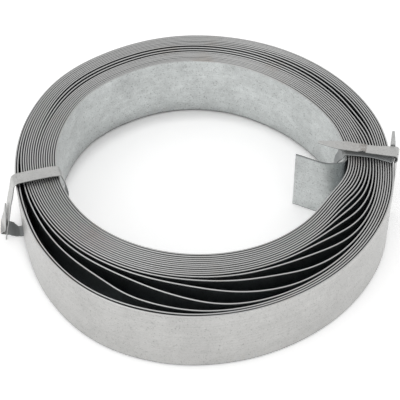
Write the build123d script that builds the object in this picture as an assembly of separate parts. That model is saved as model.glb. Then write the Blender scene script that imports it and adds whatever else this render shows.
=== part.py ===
from build123d import *
from math import cos, exp, floor, radians, sin
import os

# Coil of steel strapping: one long strip wound flat into a loose coil, held by two narrow ties.
# The coil lies on its side: +Z is up, +X is right and -Y is the front. Lengths are millimetres.

# The strip
strap_width = 40.0
strap_thickness = 1.0

# The coil
bore_radius = 78.0
turns = 18
turn_gap = 0.28
loose_slack = 21.0
tail_start_angle = 3.0
outer_end_angle = 3.5

# Round the coil, every twenty degrees from +X towards +Y. The wall of the bore, as shares of
# its radius, and how much wider than a tight winding the coil is there, as shares of the slack
bore_shares = [1.026, 1.045, 1.037, 1.050, 1.083, 1.104, 1.102, 1.100, 1.066, 1.034,
               .987, .944, .903, .878, .871, .881, .900, .934]
slack_shares = [.155, .155, .21, .195, .095, .043, .024, .019, .018, .027,
                .20, .54, .885, 1.01, .95, .81, .675, .52]

# The slack lies where the turns cross from the bore side to the outside. How many turns from
# the outside that is, and over how many turns it opens on its outer and on its inner side,
# are shares of all turns; a little of the slack lies evenly between all the turns
crossing_shares = [.42, .372, .372, .372, .372, .37, .37, .37, .25, .100,
                   .083, .085, .100, .158, .218, .272, .340, .440]
outer_spread_shares = [.050, .033, .033, .033, .033, .033, .033, .033, .020, .006,
                       .004, .004, .007, .028, .027, .023, .028, .040]
inner_spread_shares = [.300, .050, .050, .050, .050, .050, .050, .050, .050, .025,
                       .045, .055, .050, .042, .041, .035, .042, .085]
even_share = 0.08

# The free inner end of the strip, past the right tie: along and across the line from the
# coil's centre to the tie, as shares of the bore's radius
tail_bend_share = (.935, -.004)
tail_end_share = (.679, .089)

# The ties: strips bent right round the winding, each with two pointed ends that lock over
# each other. A tie stands upright through the bore's wall and the outer wall at its angles
tie_width = 8.0
tie_thickness = 0.7
tie_bend_radius = 0.65
tie_point_width = 1.0
tie_bulge = 4.2
tie_bulge_radius = 20.0
tie_side_clearance = 0.2
tie_seat_clearance = 0.1
tie_layer_clearance = 0.3
left_tie_angles = (-172.9, -170.6)
right_tie_angles = (7.9, 3.2)

# The left tie's outer run leans out to a foot near the floor. The other end comes out under
# the winding, turns up round that foot and lies flat against the run
left_rim_overhang = 0.8
left_rim_radius = 2.0
left_lean_out = 8.5
left_foot_length = 9.0
left_hook_length = 9.0
left_hook_point_length = 16.0

# The right tie's ends lie over each other on top. The upper one leaves the outer rim in a
# loose curl and ends over the eye; the lower one ends in a spike that is turned up
right_reach_over_eye = 13.5
right_point_length = 11.5
right_tip_width = 2.4
right_tip_setback = 1.8
right_curl_rise = 2.2
right_curl_reach = 2.8
right_curl_height = 3.6
right_curl_radius = 1.5
right_curl_run = 8.0
right_foot_gap = 1.0
right_bulge = 3.2
spike_height = 11.5
spike_width = 3.2
spike_lean = 30.0
spike_setback = 0.6

# Straight facets along one turn, and along the free inner end: they stay within a few
# hundredths of a millimetre of the curve
facets_per_turn = 88
facets_per_tail = 24


def wave(shares, angle):
    """Smooth closed curve through evenly spaced shares, read at an angle in degrees."""
    place = (angle % 360) / 360 * len(shares)
    step = floor(place)
    part = place - step
    before, here, after, beyond = (shares[(step + k) % len(shares)] for k in (-1, 0, 1, 2))
    rise_here = (after - before) / 2
    rise_after = (beyond - here) / 2
    return (here * (1 + 2 * part) * (1 - part) ** 2 + after * part ** 2 * (3 - 2 * part)
            + rise_here * part * (1 - part) ** 2 - rise_after * part ** 2 * (1 - part))


def spiral_radius(angle):
    """Middle of the strip's thickness at an angle that runs on turn after turn."""
    turn = (angle - tail_start_angle) / 360
    pitch = strap_thickness + turn_gap
    first = bore_radius * wave(bore_shares, angle) + strap_thickness / 2
    slack = loose_slack * wave(slack_shares, angle)
    outer_spread = turns * wave(outer_spread_shares, angle)
    inner_spread = turns * wave(inner_spread_shares, angle)
    inside_crossing = turns - turn - turns * wave(crossing_shares, angle)
    crossed = (1 + exp(inside_crossing / outer_spread)) ** (-outer_spread / inner_spread)
    opened = (1 - even_share) * crossed + even_share * turn / turns
    return first + pitch * turn + slack * opened


def polar(radius, angle):
    return Vector(radius * cos(radians(angle)), radius * sin(radians(angle)))


def spiral_heading(angle):
    """Way that the strip runs at an angle, outwards turn after turn."""
    step = 360 / facets_per_turn / 4
    ahead = polar(spiral_radius(angle + step), angle + step)
    behind = polar(spiral_radius(angle - step), angle - step)
    return (ahead - behind).normalized()


def spiral_point(angle, side):
    """Point on a face of the strip: side is -1 inside, 0 in the middle, +1 outside."""
    along = spiral_heading(angle)
    outward = Vector(along.Y, -along.X)
    return polar(spiral_radius(angle), angle) + outward * (side * strap_thickness / 2)


def wall_points(side):
    """Points along a face of the strip, from the first turn to the end of the last."""
    last = outer_end_angle + 360 * turns
    count = facets_per_turn * turns
    step = (last - tail_start_angle) / count
    return [spiral_point(tail_start_angle + step * k, side) for k in range(count + 1)]


def tail_middle():
    """Middle line of the free inner end, from the first turn round its bend to the cut."""
    start = spiral_point(tail_start_angle, 0)
    heading = spiral_heading(tail_start_angle) * -1
    bend, end = (Vector(along * bore_radius, across * bore_radius)
                 for along, across in (tail_bend_share, tail_end_share))
    away = Vector(-1, 0)
    return Edge.make_spline([start, bend, end], tangents=[heading, away, end - bend])


def tail_points(side):
    """Points along a face of the free inner end, from the cut to just before the first turn."""
    middle = tail_middle()
    points = []
    for k in range(facets_per_tail, 0, -1):
        along = middle % (k / facets_per_tail)
        outward = Vector(-along.Y, along.X)
        points.append(middle @ (k / facets_per_tail) + outward * (side * strap_thickness / 2))
    return points


def strap_coil():
    """The strip on edge: its outline from above, raised by the strip's width."""
    outer = tail_points(1) + wall_points(1)
    inner = tail_points(-1) + wall_points(-1)
    outline = Polyline(*outer, *inner[::-1], close=True)
    bottom = tie_thickness + tie_seat_clearance
    return Pos(0, 0, bottom) * extrude(Face(outline), strap_width, dir=(0, 0, 1))


def wall_reach(start, side, plane):
    """How far a wall's turn reaches in and out along a tie's plane, over the tie's width."""
    reaches = []
    steps = facets_per_turn * 20
    for k in range(steps):
        here = plane.to_local_coords(spiral_point(start + 360 * k / steps, side))
        if abs(here.X) < bore_radius and abs(here.Z) <= tie_width / 2:
            reaches.append(here.X)
    return min(reaches), max(reaches)


def tie_place(angles):
    """A tie's upright plane, x outwards and y up from the bore's wall, and both walls' reach."""
    inner_angle, outer_angle = angles
    first = tail_start_angle + (inner_angle - tail_start_angle) % 360
    last = outer_end_angle + (outer_angle - outer_end_angle) % 360 + 360 * (turns - 1)
    inner = spiral_point(first, -1)
    line = (spiral_point(last, 1) - inner).normalized()
    plane = Plane(origin=inner, x_dir=line, z_dir=line.cross(Vector(0, 0, 1)))
    near = wall_reach(tail_start_angle, -1, plane)[0]
    far = wall_reach(outer_end_angle + 360 * (turns - 1), 1, plane)[1]
    gap = tie_side_clearance + tie_thickness / 2
    return plane, near - gap, far + gap


def bent_strip(points, radii):
    """A run of a tie bent along points of its upright plane, with a radius at each bend."""
    path = FilletPolyline(*points, radius=radii)
    start = Plane(origin=path @ 0, x_dir=(0, 0, 1), z_dir=path % 0)
    return sweep(start * Rectangle(tie_width, tie_thickness), path)


def pointed_end(foot, heading, length, tip_width, tip_across):
    """Tapered end of a tie, flat, from the cut end of a run at foot to its blunt tip."""
    half = tie_width / 2
    outline = Polyline((-half, 0), (half, 0), (tip_across + tip_width / 2, length),
                       (tip_across - tip_width / 2, length), close=True)
    plate = extrude(make_face(outline), tie_thickness / 2, both=True)
    plane = Plane(origin=foot, x_dir=(0, 0, 1), z_dir=Vector(0, 0, 1).cross(heading))
    return plane * plate


def tie_left():
    """The left tie, whose ends lock outside the winding, near the floor."""
    plane, inner, outer = tie_place(left_tie_angles)
    bottom = tie_thickness / 2
    top = bottom + tie_thickness + strap_width + 2 * tie_seat_clearance
    rim = Vector(outer + left_rim_overhang, top)
    foot = Vector(outer + left_lean_out, tie_thickness + tie_layer_clearance)
    down = (foot - rim).normalized()
    outward = Vector(-down.Y, down.X)
    beside = foot + outward * (tie_thickness + tie_layer_clearance)
    corner = beside + down * ((bottom - beside.Y) / down.Y)
    hook = corner - down * left_hook_length
    run = bent_strip([foot - down * left_foot_length, rim, (inner, top),
                      (inner - tie_bulge, strap_width / 2), (inner, bottom), corner, hook],
                     [left_rim_radius, tie_bend_radius, tie_bulge_radius,
                      tie_bend_radius, tie_bend_radius])
    edge = -(tie_width - tie_point_width) / 2
    foot_end = pointed_end(foot - down * left_foot_length, down, left_foot_length,
                           tie_point_width, edge)
    hook_end = pointed_end(hook, down * -1, left_hook_point_length, tie_point_width, 0)
    return plane * (run + foot_end + hook_end)


def spike(outer, top):
    """The lower end of the right tie, turned up behind the curl along its back edge."""
    base = top - tie_thickness / 2
    shoulder = spike_height / 3
    middle = outer - spike_width / 2
    outline = Polyline((outer - 2 * spike_width, 0), (outer, 0), (outer, shoulder),
                       (middle + tie_point_width / 2, spike_height),
                       (middle - tie_point_width / 2, spike_height),
                       (outer - spike_width, shoulder), close=True)
    plate = extrude(make_face(outline), tie_thickness)
    return Pos(0, base, -tie_width / 2 - spike_setback) * Rot(-spike_lean, 0, 0) * plate


def tie_right():
    """The right tie, whose ends lie over each other on top of the winding."""
    plane, inner, outer = tie_place(right_tie_angles)
    bottom = tie_thickness / 2
    top = bottom + tie_thickness + strap_width + 2 * tie_seat_clearance
    upper = top + tie_thickness + tie_layer_clearance
    tip_start = inner + right_point_length - right_reach_over_eye
    curl_top = upper + right_curl_rise
    curl_bottom = curl_top - right_curl_height - right_curl_rise
    run = bent_strip([(tip_start, upper), (outer + right_curl_reach, curl_top),
                      (outer + right_curl_reach, curl_bottom), (outer, curl_bottom - right_curl_run),
                      (outer + right_foot_gap, bottom), (inner, bottom), (inner, strap_width / 2),
                      (inner - right_bulge, top - tie_bulge), (inner, top),
                      (inner + tie_bulge / 2, top)],
                     [right_curl_radius, right_curl_radius, right_curl_run, tie_bend_radius,
                      tie_bend_radius, right_curl_run, tie_bend_radius, tie_bend_radius])
    eye_end = pointed_end(Vector(tip_start, upper), Vector(-1, 0), right_point_length,
                          right_tip_width, -right_tip_setback)
    half = tie_width / 2
    back = -half - spike_setback
    cut = outer - tie_bend_radius
    flap = outer - 2 * spike_width
    layer = Polyline((inner + tie_bulge / 2, half), (cut, half), (cut, back), (flap, back),
                     (flap, -half), (inner + tie_bulge / 2, -half), close=True)
    lower = Pos(0, top, 0) * Rot(90, 0, 0) * extrude(make_face(layer), tie_thickness / 2, both=True)
    return plane * (run + eye_end + lower + spike(outer, top))


def main():
    os.makedirs("parts", exist_ok=True)
    pieces = {"strap_coil": strap_coil(), "tie_left": tie_left(), "tie_right": tie_right()}
    boxes = [piece.bounding_box() for piece in pieces.values()]
    middle_x = (min(box.min.X for box in boxes) + max(box.max.X for box in boxes)) / 2
    middle_y = (min(box.min.Y for box in boxes) + max(box.max.Y for box in boxes)) / 2
    for name, piece in pieces.items():
        export_step(Pos(-middle_x, -middle_y, 0) * piece, f"parts/{name}.step")
        print(name, piece.is_valid, len(piece.solids()), piece.volume)
    print("moved by", -middle_x, -middle_y)


main()
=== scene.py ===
from math import cos, exp, floor, pi, radians, sin, tan

import bpy
from mathutils import Matrix, Quaternion, Vector


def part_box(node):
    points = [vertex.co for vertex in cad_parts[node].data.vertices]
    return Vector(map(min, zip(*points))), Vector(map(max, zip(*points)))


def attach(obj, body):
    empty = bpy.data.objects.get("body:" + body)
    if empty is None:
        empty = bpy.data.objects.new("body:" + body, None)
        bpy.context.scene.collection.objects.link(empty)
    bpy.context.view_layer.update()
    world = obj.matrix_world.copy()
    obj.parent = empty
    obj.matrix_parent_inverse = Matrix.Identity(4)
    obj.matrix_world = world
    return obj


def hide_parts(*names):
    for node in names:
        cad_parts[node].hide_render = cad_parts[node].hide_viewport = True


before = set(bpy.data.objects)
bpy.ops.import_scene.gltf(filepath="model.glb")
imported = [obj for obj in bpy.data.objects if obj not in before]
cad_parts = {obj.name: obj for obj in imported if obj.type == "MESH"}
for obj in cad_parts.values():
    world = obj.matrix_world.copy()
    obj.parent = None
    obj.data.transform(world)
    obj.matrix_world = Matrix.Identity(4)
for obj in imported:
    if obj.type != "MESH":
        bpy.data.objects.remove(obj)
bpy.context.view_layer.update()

# A loose coil of galvanised steel strip, held by two narrow ties. Lengths are metres.
mm = 0.001

# The strip. Its faces are drawn a skin's thickness in, so that no two turns touch, and its
# slit edges are rounded off over a height towards a narrower top
strap_width = 40 * mm
strap_thickness = 1.0 * mm
strap_skin = 0.02 * mm
slit_edge_height = 0.9 * mm
slit_edge_top_share = .30
slit_edge_steps = 5

# The coil
bore_radius = 78 * mm
turns = 18
turn_gap = 0.28 * mm
loose_slack = 21 * mm
tail_start_angle = 3.0
outer_end_angle = 3.5
stations_per_turn = 250
stations_per_tail = 60

# Round the coil, every twenty degrees from +X towards +Y. The wall of the bore, as shares of
# its radius, and how much wider than a tight winding the coil is there, as shares of the slack
bore_shares = [1.026, 1.045, 1.037, 1.050, 1.083, 1.104, 1.102, 1.100, 1.066, 1.034,
               .987, .944, .903, .878, .871, .881, .900, .934]
slack_shares = [.155, .155, .21, .195, .095, .043, .024, .019, .018, .027,
                .20, .54, .885, 1.01, .95, .81, .675, .52]

# The slack lies where the turns cross from the bore side to the outside. How many turns from
# the outside that is, and over how many turns it opens on its outer and on its inner side,
# are shares of all turns; a little of the slack lies evenly between all the turns
crossing_shares = [.42, .372, .372, .372, .372, .37, .37, .37, .25, .100,
                   .083, .085, .100, .158, .218, .272, .340, .440]
outer_spread_shares = [.050, .033, .033, .033, .033, .033, .033, .033, .020, .006,
                       .004, .004, .010, .028, .027, .023, .028, .040]
inner_spread_shares = [.300, .050, .050, .050, .050, .050, .050, .050, .050, .025,
                       .045, .055, .050, .042, .041, .035, .042, .085]
even_share = 0.08

# At the back the turns lie tighter than that and leave three open gaps between them. Which
# turns those are, how much they open, and how much of it shows round the coil, as shares. The
# tighter turns have made up for the gaps by a turn near the outer end
open_gap = 0.9 * mm
open_gap_turns = (7.85, 8.85, 9.85)
open_gap_shares = [0, 0, 0, .45, .85, 1, 1, .85, .3, 0, 0, 0, 0, 0, 0, 0, 0, 0]
open_gap_sharpness = 12
gaps_made_up_turn = turns - .6

# At the left the turns stand in a little at the floor, as shares of the most they do
lean_in = 1.5 * mm
lean_shares = [0, 0, 0, 0, 0, 0, 0, .15, .6, .95, 1, .7, .25, 0, 0, 0, 0, 0]

# The strip's upper edge drops a little along the winding, in a slow and a quick wave (waves
# in a turn, and degrees at the start), but not near the line through both ties
edge_drop = 0.3 * mm
slow_wave = (0.83, 40)
quick_wave = (2.31, 0)
slow_wave_share = .6
tie_line_angle = 7
drop_steepness = 3

# The free inner end of the strip: along and across the line from the coil's centre to the
# right tie, as shares of the bore's radius
tail_bend_share = (.935, -.004)
tail_end_share = (.679, .089)

# The ties: a tie stands upright through the bore's wall and the outer wall at its angles
tie_width = 8 * mm
tie_thickness = 0.7 * mm
tie_edge_radius = 0.2 * mm
tie_side_clearance = 0.2 * mm
tie_seat_clearance = 0.1 * mm
tie_station_step = 1.0 * mm
tie_bend_step = radians(9)
left_tie_angles = (-172.9, -170.6)
right_tie_angles = (7.9, 3.2)

# Half of a tie's width in millimetres, as the numbers of its bends are
tie_half = tie_width / 2 / mm

# The winding lies on the ties' lower runs
coil_lift = tie_thickness + tie_seat_clearance

# Edges stay sharp where faces meet at more than these angles
strap_crease = radians(50)
tie_crease = radians(40)

# The camera looks along +Y and down
camera_elevation = radians(46.02)
camera_roll = radians(0.57)
camera_distance = 915.1 * mm
camera_lens = 141.7
camera_aim_from_coil = Vector((-0.75 * mm, 8.87 * mm, 0))
camera_clip = (0.01, 50)

# A soft lamp at the left, a plain pale world and a floor that shows as white
softbox_place = (-1.7, -1.7, 1.1)
softbox_size = 2.0
softbox_power = 12
world_strength = 0.9
floor_reach = 20.0
floor_paint = (.9, .9, .9, 1)
floor_seen = (1, 1, 1, 1)
floor_glow = (.26, .26, .26, 1)
no_glow = (0, 0, 0, 1)

# The floor doesn't glow under the winding: from its centre, where that starts and ends
unlit_from_bore = (76 * mm, 86 * mm)
unlit_to_rim = (107 * mm, 98 * mm)

# Zinc and stains, as linear colours, with painted light and shade: the inner face painted lighter,
# painted shade between the turns, at the foot, on shaded stretches of the ties and in the curl's
# hollow
outer_zinc = (.497, .495, .485, 1)
inner_zinc_painted_lighter = (.555, .575, .57, 1)
between_turns_shade_zinc = (.32, .345, .355, 1)
edge_zinc = (.54, .54, .535, 1)
edge_brown = (.50, .475, .45, 1)
edge_shadow = (.20, .21, .21, 1)
faint_line_zinc = (.30, .31, .31, 1)
tie_zinc = (.53, .53, .52, 1)
painted_shade_zinc = (.25, .265, .27, 1)
tie_stain = (.27, .245, .225, 1)
hollow_shade_black = (.03, .03, .03, 1)

# The strap's skin: bloom and flecks, each as outside and how much stronger inside, streaks
# along the strip and up it for each metre, and brown patches on its edges
strap_roughness = .34
strap_bloom_size = 4.5 * mm
strap_bloom = (.12, .12)
strap_fleck_size = 0.85 * mm
strap_flecks = (.32, .14)
streak_scales = (12.0, 900.0, 0.0)
streak_shades = (.955, 1.03)
brown_patch_scale = 38.0

# Up the strip: how much of it shows as a slit edge, how far below the top a faint darker line runs
# and how strong it is, and between which heights the lower edge and the foot above it darken as
# painted shade
edge_seen = 0.42 * mm
faint_line_depth = 8 * mm
faint_line_strength = .12
low_edge_heights = (.5 * mm, .2 * mm)
foot_heights = (1.2 * mm, .4 * mm)
foot_strength = .7

# The ties' skin
tie_roughness = .38
tie_bloom_size = 3.5 * mm
tie_bloom = .12
tie_fleck_size = 0.8 * mm
tie_flecks = .24
stain_scale = 700.0


def wave(shares, angle):
    """Smooth closed curve through evenly spaced shares, read at an angle in degrees."""
    place = (angle % 360) / 360 * len(shares)
    step = floor(place)
    part = place - step
    before, here, after, beyond = (shares[(step + k) % len(shares)] for k in (-1, 0, 1, 2))
    rise_here = (after - before) / 2
    rise_after = (beyond - here) / 2
    return (here * (1 + 2 * part) * (1 - part) ** 2 + after * part ** 2 * (3 - 2 * part)
            + rise_here * part * (1 - part) ** 2 - rise_after * part ** 2 * (1 - part))


def spiral_radius(angle):
    """Middle of the strip's thickness at an angle that runs on turn after turn."""
    turn = (angle - tail_start_angle) / 360
    pitch = strap_thickness + turn_gap
    first = bore_radius * wave(bore_shares, angle) + strap_thickness / 2
    slack = loose_slack * wave(slack_shares, angle)
    outer_spread = turns * wave(outer_spread_shares, angle)
    inner_spread = turns * wave(inner_spread_shares, angle)
    inside_crossing = turns - turn - turns * wave(crossing_shares, angle)
    crossed = (1 + exp(inside_crossing / outer_spread)) ** (-outer_spread / inner_spread)
    opened = (1 - even_share) * crossed + even_share * turn / turns
    passed = sum(1 / (1 + exp((gap - turn) * open_gap_sharpness)) for gap in open_gap_turns)
    spaced = passed - len(open_gap_turns) * turn / gaps_made_up_turn
    gaps = open_gap * wave(open_gap_shares, angle) * spaced
    return first + pitch * turn + slack * opened + gaps


def spiral_place(angle):
    """Place from above of the middle of the strip's thickness."""
    radius = spiral_radius(angle)
    return Vector((radius * cos(radians(angle)), radius * sin(radians(angle)), 0))


def smooth_run(ends, headings, count):
    """Points of a smooth curve between two ends, with a heading at each."""
    start, end = ends
    leave, arrive = headings
    span = (end - start).length
    points = []
    for k in range(count + 1):
        t = k / count
        points.append(start * (1 + 2 * t) * (1 - t) ** 2 + end * t ** 2 * (3 - 2 * t)
                      + leave * span * t * (1 - t) ** 2 - arrive * span * t ** 2 * (1 - t))
    return points


def tail_line():
    """Middle line of the free inner end, from its cut to just before the first turn."""
    step = 360 / stations_per_turn
    start = spiral_place(tail_start_angle)
    heading = (spiral_place(tail_start_angle) - spiral_place(tail_start_angle + step)).normalized()
    bend = Vector((tail_bend_share[0] * bore_radius, tail_bend_share[1] * bore_radius, 0))
    end = Vector((tail_end_share[0] * bore_radius, tail_end_share[1] * bore_radius, 0))
    half = stations_per_tail // 2
    round_bend = smooth_run((start, bend), (heading, Vector((-1, 0, 0))), half)
    to_cut = smooth_run((bend, end), (Vector((-1, 0, 0)), (end - bend).normalized()), half)
    return (round_bend + to_cut[1:])[:0:-1]


def turn_stations():
    """Angles along the winding, from the first turn to the strip's outer end."""
    last = outer_end_angle + 360 * turns
    count = stations_per_turn * turns
    return [tail_start_angle + (last - tail_start_angle) * k / count for k in range(count + 1)]


def strap_line():
    """Middle line of the whole strip from above, from its inner cut to its outer end."""
    return tail_line() + [spiral_place(angle) for angle in turn_stations()]


def length_along(line, count):
    """Length of the first pieces of a line."""
    return sum((after - before).length for before, after in zip(line[:count], line[1:count + 1]))


def strap_lean():
    """How far the strip's lower edge stands in from its upper edge, along its line."""
    tail = [0.0] * stations_per_tail
    return tail + [lean_in * wave(lean_shares, angle) * (angle - tail_start_angle) / 360 / turns
                   for angle in turn_stations()]


def rise_and_fall(angle, waves, start):
    """A wave between 0 and 1 along the winding."""
    return (1 + sin(radians(angle * waves + start))) / 2


def strap_drop():
    """How far the strip's upper edge drops, along its line."""
    tail = [0.0] * stations_per_tail
    drops = []
    for angle in turn_stations():
        free = min(1.0, abs(sin(radians(angle - tie_line_angle))) * drop_steepness)
        dropped = (slow_wave_share * rise_and_fall(angle, *slow_wave)
                   + (1 - slow_wave_share) * rise_and_fall(angle, *quick_wave))
        drops.append(edge_drop * free * dropped)
    return tail + drops


def slit_edge_profile():
    """Section of the strip: across its thickness, and up its width from the middle. Its slit
    edges are rounded off towards a narrow top."""
    half_thick = strap_thickness / 2 - strap_skin
    half_wide = strap_width / 2
    quarter = []
    for k in range(slit_edge_steps):
        turn = k / (slit_edge_steps - 1) * pi / 2
        thick = half_thick * (slit_edge_top_share + (1 - slit_edge_top_share) * cos(turn))
        quarter.append((thick, half_wide - slit_edge_height * (1 - sin(turn))))
    top_left = [(-thick, wide) for thick, wide in reversed(quarter)]
    bottom_left = [(-thick, -wide) for thick, wide in quarter]
    bottom_right = [(thick, -wide) for thick, wide in reversed(quarter)]
    return quarter + top_left + bottom_left + bottom_right


def swept_strip(name, line, leans, drops, profile, lift):
    """A strip on edge along a line from above, with its ends closed. Its outer face's place up
    the strip is kept in the strip's map as it is, and its inner face's one strip further up."""
    verts, faces, along = [], [], [0.0]
    count = len(profile)
    for k, point in enumerate(line):
        ahead = line[min(k + 1, len(line) - 1)]
        behind = line[max(k - 1, 0)]
        heading = (ahead - behind).normalized()
        outward = Vector((heading.y, -heading.x, 0))
        if k:
            along.append(along[-1] + (point - line[k - 1]).length)
        for thick, wide in profile:
            lean = leans[k] * (1 / 2 - wide / strap_width)
            drop = drops[k] * (1 / 2 + wide / strap_width)
            verts.append(point + outward * (thick - lean) + Vector((0, 0, wide + lift - drop)))
    for k in range(len(line) - 1):
        for j in range(count):
            here, there = k * count + j, k * count + (j + 1) % count
            faces.append((here, here + count, there + count, there))
    faces.append(tuple(range(count)))
    faces.append(tuple((len(line) - 1) * count + j for j in reversed(range(count))))
    mesh = bpy.data.meshes.new(name)
    mesh.from_pydata(verts, [], faces)
    lay = mesh.uv_layers.new(name="strip")
    for face in mesh.polygons:
        side = sum(profile[vertex % count][0] for vertex in face.vertices)
        base = strap_width / 2 if side > 0 else strap_width * 3 / 2
        for loop in face.loop_indices:
            vertex = mesh.loops[loop].vertex_index
            lay.data[loop].uv = (along[vertex // count], profile[vertex % count][1] + base)
    mesh.validate()
    mesh.update()
    piece = bpy.data.objects.new(name, mesh)
    bpy.context.scene.collection.objects.link(piece)
    return piece


def put_over(piece, low_corner, high_corner):
    """Moves a mesh level, in its own data, over the middle of a box, and narrows it by the
    little its round walls stand out past that box. Returns the move."""
    move = Vector((0, 0, 0))
    centre = Vector((0, 0, 0))
    narrowing = 1.0
    for axis in (0, 1):
        reach = [vertex.co[axis] for vertex in piece.data.vertices]
        low, high = min(reach), max(reach)
        centre[axis] = (low_corner[axis] + high_corner[axis]) / 2
        move[axis] = centre[axis] - (low + high) / 2
        narrowing = min(narrowing, (high_corner[axis] - low_corner[axis]) / (high - low))
    piece.data.transform(Matrix.Translation(centre)
                         @ Matrix.Diagonal((narrowing, narrowing, 1, 1))
                         @ Matrix.Translation(move - centre))
    return move


def smooth_shaded(piece, angle):
    """Shades a piece smooth but for its sharp edges."""
    piece.data.shade_smooth()
    piece.data.set_sharp_from_angle(angle=angle)


def wall_reach(start, side, place):
    """How far a wall's turn reaches in and out along a tie's line, over the tie's width."""
    origin, line, across = place
    reaches = []
    samples = stations_per_turn * 6
    for k in range(samples):
        here = wall_place(start + 360 * k / samples, side) - origin
        if abs(here.dot(line)) < bore_radius and abs(here.dot(across)) <= tie_width / 2:
            reaches.append(here.dot(line))
    return min(reaches), max(reaches)


def wall_place(angle, side):
    """Place on a face of the strip from above: side is -1 inside and +1 outside."""
    along = (spiral_place(angle + 1) - spiral_place(angle - 1)).normalized()
    return spiral_place(angle) + Vector((along.y, -along.x, 0)) * (side * strap_thickness / 2)


def tie_place(angles):
    """A tie's origin at the bore's wall, its line outwards and the way across it, and where
    the middle of its thickness runs down inside the bore and down the outer wall."""
    inner_angle, outer_angle = angles
    first = tail_start_angle + (inner_angle - tail_start_angle) % 360
    last = outer_end_angle + (outer_angle - outer_end_angle) % 360 + 360 * (turns - 1)
    origin = wall_place(first, -1)
    line = (wall_place(last, 1) - origin).normalized()
    place = (origin, line, line.cross(Vector((0, 0, 1))))
    near = wall_reach(tail_start_angle, -1, place)[0]
    far = wall_reach(outer_end_angle + 360 * (turns - 1), 1, place)[1]
    gap = tie_side_clearance + tie_thickness / 2
    return place, near - gap, far + gap


def bend(out, up, across=0.0, radius=0.0, low=tie_half, high=tie_half, twist=0.0,
         painted_shade=0.0, stain=0.0):
    """A corner of a bent tie, in millimetres: its place along the tie's line, up and across it,
    its radius, and the strip's reach to both sides. Its twist is in degrees; how much painted
    shade and how much stain the zinc has there are shares, and a painted shade of 2 is a hollow's
    near black."""
    return (Vector((out, up, across)) * mm, radius * mm,
            [low * mm, high * mm, radians(twist), painted_shade, stain])


def bend_stations(bends):
    """Stations of a strip with its corners rounded."""
    stations = [(bends[0][0], bends[0][2])]
    for before, here, after in zip(bends, bends[1:], bends[2:]):
        corner, radius, kept = here
        arriving = (corner - before[0]).normalized()
        leaving = (after[0] - corner).normalized()
        turn = arriving.angle(leaving)
        reach = radius * tan(turn / 2)
        start = corner - arriving * reach
        inward = (leaving - arriving * leaving.dot(arriving)).normalized()
        pieces = max(2, int(turn / tie_bend_step))
        for k in range(pieces + 1):
            part = turn * k / pieces
            place = start + arriving * radius * sin(part) + inward * radius * (1 - cos(part))
            stations.append((place, kept))
    return stations + [(bends[-1][0], bends[-1][2])]


def finer(stations, step):
    """The same stations with more between them, no further apart than a step."""
    result = [stations[0]]
    for before, after in zip(stations, stations[1:]):
        count = max(1, int((after[0] - before[0]).length / step))
        for k in range(1, count + 1):
            part = k / count
            kept = [a * (1 - part) + b * part for a, b in zip(before[1], after[1])]
            result.append((before[0].lerp(after[0], part), kept))
    return result


def tie_strip(bends, place, shift):
    """A flat strip bent through its corners, in its tie's place: vertices, faces, the strip's
    map, and for each vertex how much painted shade, how stained and how much on a slit edge it is."""
    origin, line, across = place
    up = sideways = Vector((0, 0, 1))
    half, edge = tie_thickness / 2, tie_edge_radius
    stations = finer(bend_stations(bends), tie_station_step)
    verts, faces, lays, marks = [], [], [], []
    along = 0.0
    for k, (middle, (low, high, twist, painted_shade, stain)) in enumerate(stations):
        heading = (stations[min(k + 1, len(stations) - 1)][0]
                   - stations[max(k - 1, 0)][0]).normalized()
        if k:
            along += (middle - stations[k - 1][0]).length
        wide = (sideways - heading * sideways.dot(heading)).normalized()
        wide = Quaternion(heading, twist) @ wide
        thick = heading.cross(wide)
        section = [(high - edge, -half, 0), (high, edge - half, 1), (high, half - edge, 1),
                   (high - edge, half, 0), (edge - low, half, 0), (-low, half - edge, 1),
                   (-low, edge - half, 1), (edge - low, -half, 0)]
        for aside, raised, slit in section:
            flat = middle + wide * aside + thick * raised
            verts.append(origin + line * flat.x + up * flat.y + across * flat.z + shift)
            lays.append((along, aside))
            marks.append((painted_shade, stain, slit))
    count = len(section)
    for k in range(len(stations) - 1):
        for j in range(count):
            here, there = k * count + j, k * count + (j + 1) % count
            faces.append((here, there, there + count, here + count))
    faces.append(tuple(reversed(range(count))))
    faces.append(tuple((len(stations) - 1) * count + j for j in range(count)))
    return verts, faces, lays, marks


def tie_piece(name, strips):
    """One mesh from the strips of a tie."""
    verts, faces, lays, marks = [], [], [], []
    for strip_verts, strip_faces, strip_lays, strip_marks in strips:
        faces += [tuple(index + len(verts) for index in face) for face in strip_faces]
        verts += strip_verts
        lays += strip_lays
        marks += strip_marks
    mesh = bpy.data.meshes.new(name)
    mesh.from_pydata(verts, [], faces)
    lay = mesh.uv_layers.new(name="strip")
    for loop in mesh.loops:
        lay.data[loop.index].uv = lays[loop.vertex_index]
    for row, mark in enumerate(("painted_shade", "stain", "slit")):
        mesh.attributes.new(mark, "FLOAT", "POINT").data.foreach_set(
            "value", [values[row] for values in marks])
    mesh.update()
    piece = bpy.data.objects.new(name, mesh)
    bpy.context.scene.collection.objects.link(piece)
    smooth_shaded(piece, tie_crease)
    return piece


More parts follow.
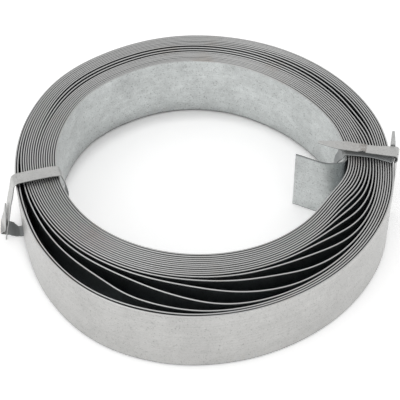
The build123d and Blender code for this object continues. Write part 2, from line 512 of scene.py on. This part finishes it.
def left_tie(shift):
    """Its ends lock outside the winding: one leans out to a point near the floor, the other
    comes out under the winding, rises and twists, and is folded up round it to another point."""
    place, inner, outer = tie_place(left_tie_angles)
    near, far = inner / mm, outer / mm
    # The runs inside the bore and under the winding carry painted shade
    bends = [
        bend(far + 8.0, 0.5, low=4, high=-3.1),
        bend(far + 6.6, 8.6, radius=12, low=4, high=-2.6),
        bend(far + 5.6, 13.5, radius=20),
        bend(far + 3.6, 25.5, radius=40),
        bend(far + 1.9, 33, radius=20),
        bend(far + 0.2, 42.5, radius=3.2),
        bend(near + 18, 42.9, radius=2),
        bend(near + 10, 42.85, radius=20),
        bend(near + 5.5, 42.8, radius=6),
        bend(near + 0.1, 42.1, radius=1.8, painted_shade=.1),
        bend(near - 1.8, 36, radius=10, painted_shade=.3),
        bend(near - 3.4, 27, radius=12, painted_shade=.35),
        bend(near, .35, radius=.65, painted_shade=.5),
        bend(far - .5, .36, .3, radius=1, painted_shade=.9),
        bend(far + 1.7, 1.7, .5, radius=2, twist=-18, painted_shade=.9),
        bend(far + 4.4, 4.4, .6, radius=6, twist=-34, painted_shade=.9),
        bend(far + 9.2, 5.4, .9, radius=1.1, twist=-20, painted_shade=.1),
        bend(far + 8.2, 8.8, -.5, radius=3, low=3.6, high=4, twist=8),
        bend(far + 7.3, 13, 0, radius=6, low=3, high=3.4, twist=5),
        bend(far + 6.4, 17.5, .9, radius=10, low=2, high=2, twist=2),
        bend(far + 5.5, 23.6, 1.6, low=.5, high=.5)]
    return tie_piece("tie_left_strip", [tie_strip(bends, place, shift)])


def right_tie(shift):
    """Its ends lie over each other on top: the upper one leaves the outer rim in a loose curl
    and ends over the eye, the lower one ends in a spike turned up at its back edge. A near black
    tab stands in the curl's hollow as painted shade."""
    place, inner, outer = tie_place(right_tie_angles)
    near, far = inner / mm, outer / mm
    # The run inside the bore, the lower layer under the upper one and the spike carry painted
    # shade
    bends = [
        bend(near - 13.6, 41.3, -2.3, low=1, high=1),
        bend(near - 6, 42.4, -1.05, radius=30, low=2.45, high=2.45),
        bend(near - 1, 43.1, -.27, radius=20, low=3.3, high=3.3, twist=-3),
        bend(near + 3, 43.65, radius=12, twist=-6, stain=.15),
        bend(near + 8.5, 43.3, radius=6, twist=-8, stain=.3),
        bend(near + 12.6, 44.2, radius=.8, twist=-15, stain=.9),
        bend(near + 13.6, 43.3, radius=.6, twist=-10, stain=.8),
        bend(near + 14.4, 43.4, radius=.5, twist=-10),
        bend(near + 19, 43.5, radius=20, twist=-9),
        bend(far - 5.5, 44.05, radius=12, twist=-3),
        bend(far + 1.5, 44.7, radius=1.7),
        bend(far + 1.5, 40.9, radius=1.7, painted_shade=.3),
        bend(far + .1, 39.3, radius=1.2, painted_shade=.2),
        bend(far + .3, 37.5, radius=3),
        bend(far + 1.1, 30, radius=20),
        bend(far + 1.2, 8, radius=30),
        bend(far + .7, .35, radius=.65),
        bend(near, .35, radius=.65),
        bend(near - 1.5, 12, radius=12),
        bend(near - 3.8, 26, .3, radius=8, painted_shade=.8),
        bend(near - 2.8, 31.5, .6, radius=5, twist=5, painted_shade=.9),
        bend(near - 1.3, 35.2, 1, radius=4, twist=9, painted_shade=.9),
        bend(near + .4, 40.4, 1.3, radius=.8, high=4.6, twist=28, painted_shade=.6),
        bend(near + 2.6, 41.4, 1, radius=1.5, twist=3, painted_shade=.5),
        bend(near + 9.6, 41.3, .4, radius=20, painted_shade=.8),
        bend(near + 19, 41.3, .1, radius=20, painted_shade=.9),
        bend(far - 6.5, 41.3, 1, radius=20, painted_shade=.9),
        bend(far - 1.3, 41.25, 2, radius=1, painted_shade=.8),
        bend(far + .1, 43.7, 2.3)]
    spike_bends = [
        bend(far - 2, 41.25, -2.6, low=1.8, high=1.8, painted_shade=.3),
        bend(far - 2, 41.25, -4.7, radius=1, low=1.7, high=1.7, painted_shade=.3),
        bend(far - 2.2, 44.9, -5.6, radius=3, low=1.35, high=1.35, painted_shade=.25),
        bend(far - 3, 50.8, -9.8, low=.66, high=.66, painted_shade=.35)]
    # A near black tab: painted shade for the curl's hollow
    shade_tab_bends = [
        bend(far + .75, 40.2, 2.3, low=.75, high=.75, painted_shade=2),
        bend(far + .6, 44.2, 1.6, low=1, high=1, painted_shade=2)]
    strips = [tie_strip(bends, place, shift)]
    strips += [cross_strip(corners, place, shift) for corners in (spike_bends, shade_tab_bends)]
    return tie_piece("tie_right_strip", strips)


def cross_strip(bends, place, shift):
    """A short strip that runs across a tie, so its width lies along the tie's line."""
    origin, line, across = place
    turned = [(Vector((corner.z, corner.y, -corner.x)), radius, kept)
              for corner, radius, kept in bends]
    return tie_strip(turned, (origin, across, -line), shift)


def add_camera(coil_centre):
    """The camera, which aims beside the coil's centre on the level of its lower edges."""
    camera = bpy.data.objects.new("camera", bpy.data.cameras.new("camera"))
    bpy.context.scene.collection.objects.link(camera)
    back = Vector((0, -cos(camera_elevation), sin(camera_elevation)))
    level = Vector((1, 0, 0))
    rise = back.cross(level)
    right = level * cos(camera_roll) + rise * sin(camera_roll)
    up = rise * cos(camera_roll) - level * sin(camera_roll)
    camera.matrix_world = Matrix((right, up, back)).transposed().to_4x4()
    camera.location = coil_centre + camera_aim_from_coil + back * camera_distance
    camera.data.lens = camera_lens
    camera.data.clip_start, camera.data.clip_end = camera_clip
    bpy.context.scene.camera = camera


def new_group(name, inputs, outputs):
    """A shader node group with its named inputs and outputs. An input is (name, kind, value)."""
    group = bpy.data.node_groups.new(name, "ShaderNodeTree")
    for label, kind, value in inputs:
        socket = group.interface.new_socket(name=label, in_out="INPUT", socket_type=kind)
        if value is not None:
            socket.default_value = value
    for label, kind in outputs:
        group.interface.new_socket(name=label, in_out="OUTPUT", socket_type=kind)
    return group, group.nodes.new("NodeGroupInput"), group.nodes.new("NodeGroupOutput")


def node(tree, kind, settings=(), values=()):
    """A node with its settings, and values or links for its inputs by index or name."""
    made = tree.nodes.new(kind)
    for label, value in dict(settings).items():
        setattr(made, label, value)
    for label, value in dict(values).items():
        if isinstance(value, bpy.types.NodeSocket):
            tree.links.new(value, made.inputs[label])
        else:
            made.inputs[label].default_value = value
    return made


def maths(tree, operation, first, second=0.0, clamp=False):
    """The result of one operation on two values or links."""
    made = node(tree, "ShaderNodeMath", {"operation": operation, "use_clamp": clamp},
                {0: first, 1: second})
    return made.outputs[0]


def scaled_vector(tree, vector, scale):
    """A vector multiplied by another, axis by axis."""
    made = node(tree, "ShaderNodeVectorMath", {"operation": "MULTIPLY"}, {0: vector, 1: scale})
    return made.outputs[0]


def noise(tree, vector, scale, detail=2.0, roughness=0.5):
    """Soft noise between 0 and 1, with so many features for each metre."""
    made = node(tree, "ShaderNodeTexNoise", {},
                {"Vector": vector, "Scale": scale, "Detail": detail, "Roughness": roughness})
    return made.outputs["Fac"]


def ranged(tree, value, low, high, to_low=0.0, to_high=1.0):
    """A value's range stretched to another, with soft ends."""
    made = node(tree, "ShaderNodeMapRange", {"interpolation_type": "SMOOTHSTEP"},
                {"Value": value, "From Min": low, "From Max": high,
                 "To Min": to_low, "To Max": to_high})
    return made.outputs["Result"]


def mixed(tree, factor, first, second, blend="MIX"):
    """A mix of two colours. The mix node's colour sockets are only told apart by number."""
    made = node(tree, "ShaderNodeMix", {"data_type": "RGBA", "blend_type": blend})
    for index, value in ((0, factor), (6, first), (7, second)):
        if isinstance(value, bpy.types.NodeSocket):
            tree.links.new(value, made.inputs[index])
        else:
            made.inputs[index].default_value = value
    return made.outputs[2]


def grey(tree, value):
    """A colour with the same value three times."""
    return node(tree, "ShaderNodeCombineColor", {}, {0: value, 1: value, 2: value}).outputs[0]


def bumped(tree, shader, height, strength, distance):
    """Gives a shader a bump of a height."""
    bump = node(tree, "ShaderNodeBump", {},
                {"Strength": strength, "Distance": distance, "Height": height})
    tree.links.new(bump.outputs["Normal"], shader.inputs["Normal"])


def zinc_bloom_group():
    """Galvanised skin: soft bloom in larger patches, with fine dark flecks and light specks."""
    group, given, put = new_group(
        "zinc_bloom",
        [("Place", "NodeSocketVector", None), ("Zinc", "NodeSocketColor", tie_zinc),
         ("Bloom size", "NodeSocketFloat", tie_bloom_size),
         ("Bloom", "NodeSocketFloat", tie_bloom),
         ("Fleck size", "NodeSocketFloat", tie_fleck_size),
         ("Flecks", "NodeSocketFloat", tie_flecks),
         ("Roughness", "NodeSocketFloat", tie_roughness)],
        [("Color", "NodeSocketColor"), ("Roughness", "NodeSocketFloat"),
         ("Height", "NodeSocketFloat")])
    place = given.outputs["Place"]
    bloom_scale = maths(group, "DIVIDE", 1.0, given.outputs["Bloom size"])
    fleck_scale = maths(group, "DIVIDE", 1.0, given.outputs["Fleck size"])
    bloom = noise(group, place, bloom_scale, 3.0, .6)
    patches = noise(group, place, maths(group, "MULTIPLY", bloom_scale, .22))
    flecks = noise(group, place, fleck_scale, 3.0, .6)
    dark_flecks = ranged(group, flecks, .56, .70)
    light_specks = ranged(group, flecks, .42, .30)
    centred = maths(group, "SUBTRACT", maths(group, "ADD", bloom, patches), 1.0)
    bloomed = maths(group, "MULTIPLY", centred, given.outputs["Bloom"])
    darkened = maths(group, "MULTIPLY", dark_flecks, given.outputs["Flecks"])
    speckled = maths(group, "MULTIPLY", light_specks,
                     maths(group, "MULTIPLY", given.outputs["Flecks"], .35))
    brightness = maths(group, "ADD", 1.0, maths(group, "MULTIPLY", bloomed, 2.0))
    brightness = maths(group, "SUBTRACT", brightness, darkened)
    brightness = maths(group, "ADD", brightness, speckled)
    color = mixed(group, 1.0, given.outputs["Zinc"], grey(group, brightness), "MULTIPLY")
    group.links.new(color, put.inputs["Color"])
    rough = maths(group, "ADD", given.outputs["Roughness"],
                  maths(group, "MULTIPLY", dark_flecks, .12))
    rough = maths(group, "ADD", rough, maths(group, "MULTIPLY", bloomed, .3))
    group.links.new(rough, put.inputs["Roughness"])
    height = maths(group, "SUBTRACT", maths(group, "MULTIPLY", bloom, .4), dark_flecks)
    group.links.new(height, put.inputs["Height"])
    return group


def slit_edge_group():
    """Masks up the strip's width: its two slit edges, and a faint line below the top."""
    group, given, put = new_group(
        "slit_edges",
        [("Up", "NodeSocketFloat", 0), ("Width", "NodeSocketFloat", strap_width),
         ("Edge", "NodeSocketFloat", edge_seen), ("Mark", "NodeSocketFloat", faint_line_depth)],
        [("Edges", "NodeSocketFloat"), ("Faint line", "NodeSocketFloat")])
    up, edge = given.outputs["Up"], given.outputs["Edge"]
    from_top = maths(group, "SUBTRACT", given.outputs["Width"], up)
    nearest = maths(group, "MINIMUM", up, from_top)
    edges = ranged(group, maths(group, "DIVIDE", nearest, edge), 1.0, .5)
    group.links.new(edges, put.inputs["Edges"])
    off_mark = maths(group, "ABSOLUTE", maths(group, "SUBTRACT", from_top, given.outputs["Mark"]))
    mark = ranged(group, maths(group, "DIVIDE", off_mark, edge), 1.0, .2)
    group.links.new(mark, put.inputs["Faint line"])
    return group


def strap_zinc(tree, along, inner_side, lit_inside, on_tail, ends):
    """Colour of the strip's faces: open zinc outside, painted lighter inside, and painted shade on
    the faces hidden between the turns.
    """
    tail_length, first_turn_end, last_turn_start = ends
    # The inner face and the free end are painted lighter than the outer face, as painted light
    open_zinc = mixed(tree, lit_inside, outer_zinc, inner_zinc_painted_lighter)
    past_first = ranged(tree, along, first_turn_end - tail_length, first_turn_end)
    before_last = ranged(tree, along, last_turn_start, last_turn_start - tail_length)
    outer_hidden = maths(tree, "MULTIPLY", before_last, maths(tree, "SUBTRACT", 1.0, on_tail))
    outer_side = maths(tree, "SUBTRACT", 1.0, inner_side)
    hidden = maths(tree, "ADD", maths(tree, "MULTIPLY", inner_side, past_first),
                   maths(tree, "MULTIPLY", outer_side, outer_hidden))
    # Faces hidden between the turns take a darker colour as painted shade
    return mixed(tree, hidden, open_zinc, between_turns_shade_zinc)


def strap_material(bloom_group, edge_group, ends):
    """The strap's zinc. Ends are the lengths along the strip at which its tail and its first
    turn end and its last turn starts."""
    material = bpy.data.materials.new("zinc_strap")
    material.use_nodes = True
    tree = material.node_tree
    shader = tree.nodes["Principled BSDF"]
    shader.inputs["Metallic"].default_value = 1.0
    place = node(tree, "ShaderNodeTexCoord").outputs["Object"]

    # Where a point is: along the strip, up it, on its inner side or on its free inner end
    lay = node(tree, "ShaderNodeUVMap", {"uv_map": "strip"}).outputs["UV"]
    split = node(tree, "ShaderNodeSeparateXYZ", {}, {0: lay})
    along = split.outputs["X"]
    inner_side = maths(tree, "GREATER_THAN", split.outputs["Y"], strap_width)
    up = maths(tree, "SUBTRACT", split.outputs["Y"],
               maths(tree, "MULTIPLY", inner_side, strap_width))
    on_tail = ranged(tree, along, ends[0] * 1.2, ends[0] * .8)
    lit_inside = maths(tree, "MAXIMUM", inner_side, on_tail)

    # The faces: bloom, flecks, and fine streaks from the rolls
    flecks, bloomed = (maths(tree, "ADD", outside, maths(tree, "MULTIPLY", lit_inside, more))
                       for outside, more in (strap_flecks, strap_bloom))
    bloom = node(tree, "ShaderNodeGroup", {"node_tree": bloom_group},
                 {"Place": place, "Zinc": strap_zinc(tree, along, inner_side, lit_inside,
                                                     on_tail, ends),
                  "Bloom size": strap_bloom_size, "Bloom": bloomed,
                  "Fleck size": strap_fleck_size, "Flecks": flecks,
                  "Roughness": strap_roughness})
    streaks = noise(tree, scaled_vector(tree, lay, streak_scales), 1.0)
    streaked = grey(tree, ranged(tree, streaks, .25, .75, *streak_shades))
    color = mixed(tree, 1.0, bloom.outputs["Color"], streaked, "MULTIPLY")

    # A faint darker line below the top, painted shade at the foot, and the slit edges, with
    # painted shade below and on the free end
    edges = node(tree, "ShaderNodeGroup", {"node_tree": edge_group},
                 {"Up": up, "Width": strap_width, "Edge": edge_seen, "Mark": faint_line_depth})
    color = mixed(tree, maths(tree, "MULTIPLY", edges.outputs["Faint line"],
                              faint_line_strength), color, faint_line_zinc)
    foot = ranged(tree, up, *foot_heights)
    color = mixed(tree, maths(tree, "MULTIPLY", foot, foot_strength), color, edge_shadow)
    brown = ranged(tree, noise(tree, place, brown_patch_scale), .55, .75)
    edge_color = mixed(tree, brown, edge_zinc, edge_brown)
    dark_edge = maths(tree, "MAXIMUM", ranged(tree, up, *low_edge_heights), on_tail)
    edge_color = mixed(tree, dark_edge, edge_color, edge_shadow)
    final = mixed(tree, edges.outputs["Edges"], color, edge_color)
    tree.links.new(final, shader.inputs["Base Color"])
    rough = maths(tree, "ADD", bloom.outputs["Roughness"],
                  maths(tree, "MULTIPLY", edges.outputs["Edges"], .1))
    tree.links.new(rough, shader.inputs["Roughness"])
    bumped(tree, shader, bloom.outputs["Height"], .25, .05 * mm)
    return material


def tie_material(bloom_group):
    """The ties' zinc, with painted shade and stains where their vertices say so."""
    material = bpy.data.materials.new("zinc_tie")
    material.use_nodes = True
    tree = material.node_tree
    shader = tree.nodes["Principled BSDF"]
    place = node(tree, "ShaderNodeTexCoord").outputs["Object"]
    bloom = node(tree, "ShaderNodeGroup", {"node_tree": bloom_group},
                 {"Place": place, "Zinc": tie_zinc, "Bloom size": tie_bloom_size,
                  "Bloom": tie_bloom, "Fleck size": tie_fleck_size, "Flecks": tie_flecks,
                  "Roughness": tie_roughness})
    painted_shade, stain, slit = (node(tree, "ShaderNodeAttribute", {"attribute_name": mark}).outputs["Fac"]
                         for mark in ("painted_shade", "stain", "slit"))
    # Painted shade: darker, less metallic zinc where shade falls on the ties, near black in the
    # curl's hollow
    color = mixed(tree, painted_shade, bloom.outputs["Color"], painted_shade_zinc)
    color = mixed(tree, ranged(tree, painted_shade, 1.0, 2.0), color, hollow_shade_black)
    blotches = ranged(tree, noise(tree, place, stain_scale), .35, .6)
    color = mixed(tree, maths(tree, "MULTIPLY", stain, blotches), color, tie_stain)
    color = mixed(tree, maths(tree, "MULTIPLY", slit, .6), color, edge_shadow)
    tree.links.new(color, shader.inputs["Base Color"])
    metal = maths(tree, "SUBTRACT", 1.0, maths(tree, "MULTIPLY", painted_shade, .85), True)
    tree.links.new(metal, shader.inputs["Metallic"])
    tree.links.new(bloom.outputs["Roughness"], shader.inputs["Roughness"])
    bumped(tree, shader, bloom.outputs["Height"], .3, .06 * mm)
    return material


def floor_material():
    """White floor that keeps its shadow; the camera and reflections see it as white."""
    material = bpy.data.materials.new("pale_floor")
    material.use_nodes = True
    tree = material.node_tree
    shader = tree.nodes["Principled BSDF"]
    shader.inputs["Roughness"].default_value = 0.9
    shader.inputs["Specular IOR Level"].default_value = 0.0
    ray = node(tree, "ShaderNodeLightPath")
    seen = maths(tree, "MAXIMUM", ray.outputs["Is Camera Ray"], ray.outputs["Is Glossy Ray"])
    shown = mixed(tree, seen, floor_paint, floor_seen)
    tree.links.new(shown, shader.inputs["Base Color"])
    place = node(tree, "ShaderNodeTexCoord").outputs["Object"]
    away = node(tree, "ShaderNodeVectorMath", {"operation": "LENGTH"}, {0: place}).outputs["Value"]
    under = maths(tree, "MULTIPLY", ranged(tree, away, *unlit_from_bore),
                  ranged(tree, away, *unlit_to_rim))
    lit = maths(tree, "MULTIPLY", seen, maths(tree, "SUBTRACT", 1.0, under))
    tree.links.new(mixed(tree, lit, no_glow, floor_glow), shader.inputs["Emission Color"])
    shader.inputs["Emission Strength"].default_value = 1.0
    return material


def add_floor():
    """A wide level floor, which stays with the scene and isn't a part of the object."""
    mesh = bpy.data.meshes.new("floor")
    corners = [(x * floor_reach, y * floor_reach, 0)
               for x, y in ((-1, -1), (1, -1), (1, 1), (-1, 1))]
    mesh.from_pydata(corners, [], [(0, 1, 2, 3)])
    ground = bpy.data.objects.new("floor", mesh)
    bpy.context.scene.collection.objects.link(ground)
    mesh.materials.append(floor_material())


def add_lamp():
    """A round softbox that faces the origin."""
    lamp = bpy.data.lights.new("left_softbox", "AREA")
    lamp.shape = "DISK"
    lamp.size = softbox_size
    lamp.energy = softbox_power
    light = bpy.data.objects.new("left_softbox", lamp)
    light.location = softbox_place
    light.rotation_euler = (-Vector(softbox_place)).to_track_quat("-Z", "Y").to_euler()
    bpy.context.scene.collection.objects.link(light)


def add_world():
    """Plain white light from all sides."""
    world = bpy.data.worlds.new("studio")
    world.use_nodes = True
    background = world.node_tree.nodes["Background"]
    background.inputs["Color"].default_value = (1, 1, 1, 1)
    background.inputs["Strength"].default_value = world_strength
    bpy.context.scene.world = world


strap_path = strap_line()
strap = swept_strip("strap_winding", strap_path, strap_lean(), strap_drop(),
                    slit_edge_profile(), coil_lift + strap_width / 2)
coil_low, coil_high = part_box("strap_coil")
shift = put_over(strap, coil_low, coil_high)
smooth_shaded(strap, strap_crease)
zinc_bloom = zinc_bloom_group()
ends = [length_along(strap_path, count) for count in (
    stations_per_tail, stations_per_tail + stations_per_turn,
    len(strap_path) - stations_per_turn)]
strap.data.materials.append(strap_material(zinc_bloom, slit_edge_group(), ends))
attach(strap, "root")
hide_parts("strap_coil")
tie_zinc_material = tie_material(zinc_bloom)
for tie, cad_node in ((left_tie(shift), "tie_left"), (right_tie(shift), "tie_right")):
    tie.data.materials.append(tie_zinc_material)
    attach(tie, "root")
    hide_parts(cad_node)
add_camera(Vector((shift.x, shift.y, coil_lift)))
add_floor()
add_world()
add_lamp()
bpy.context.scene.view_settings.view_transform = "Standard"
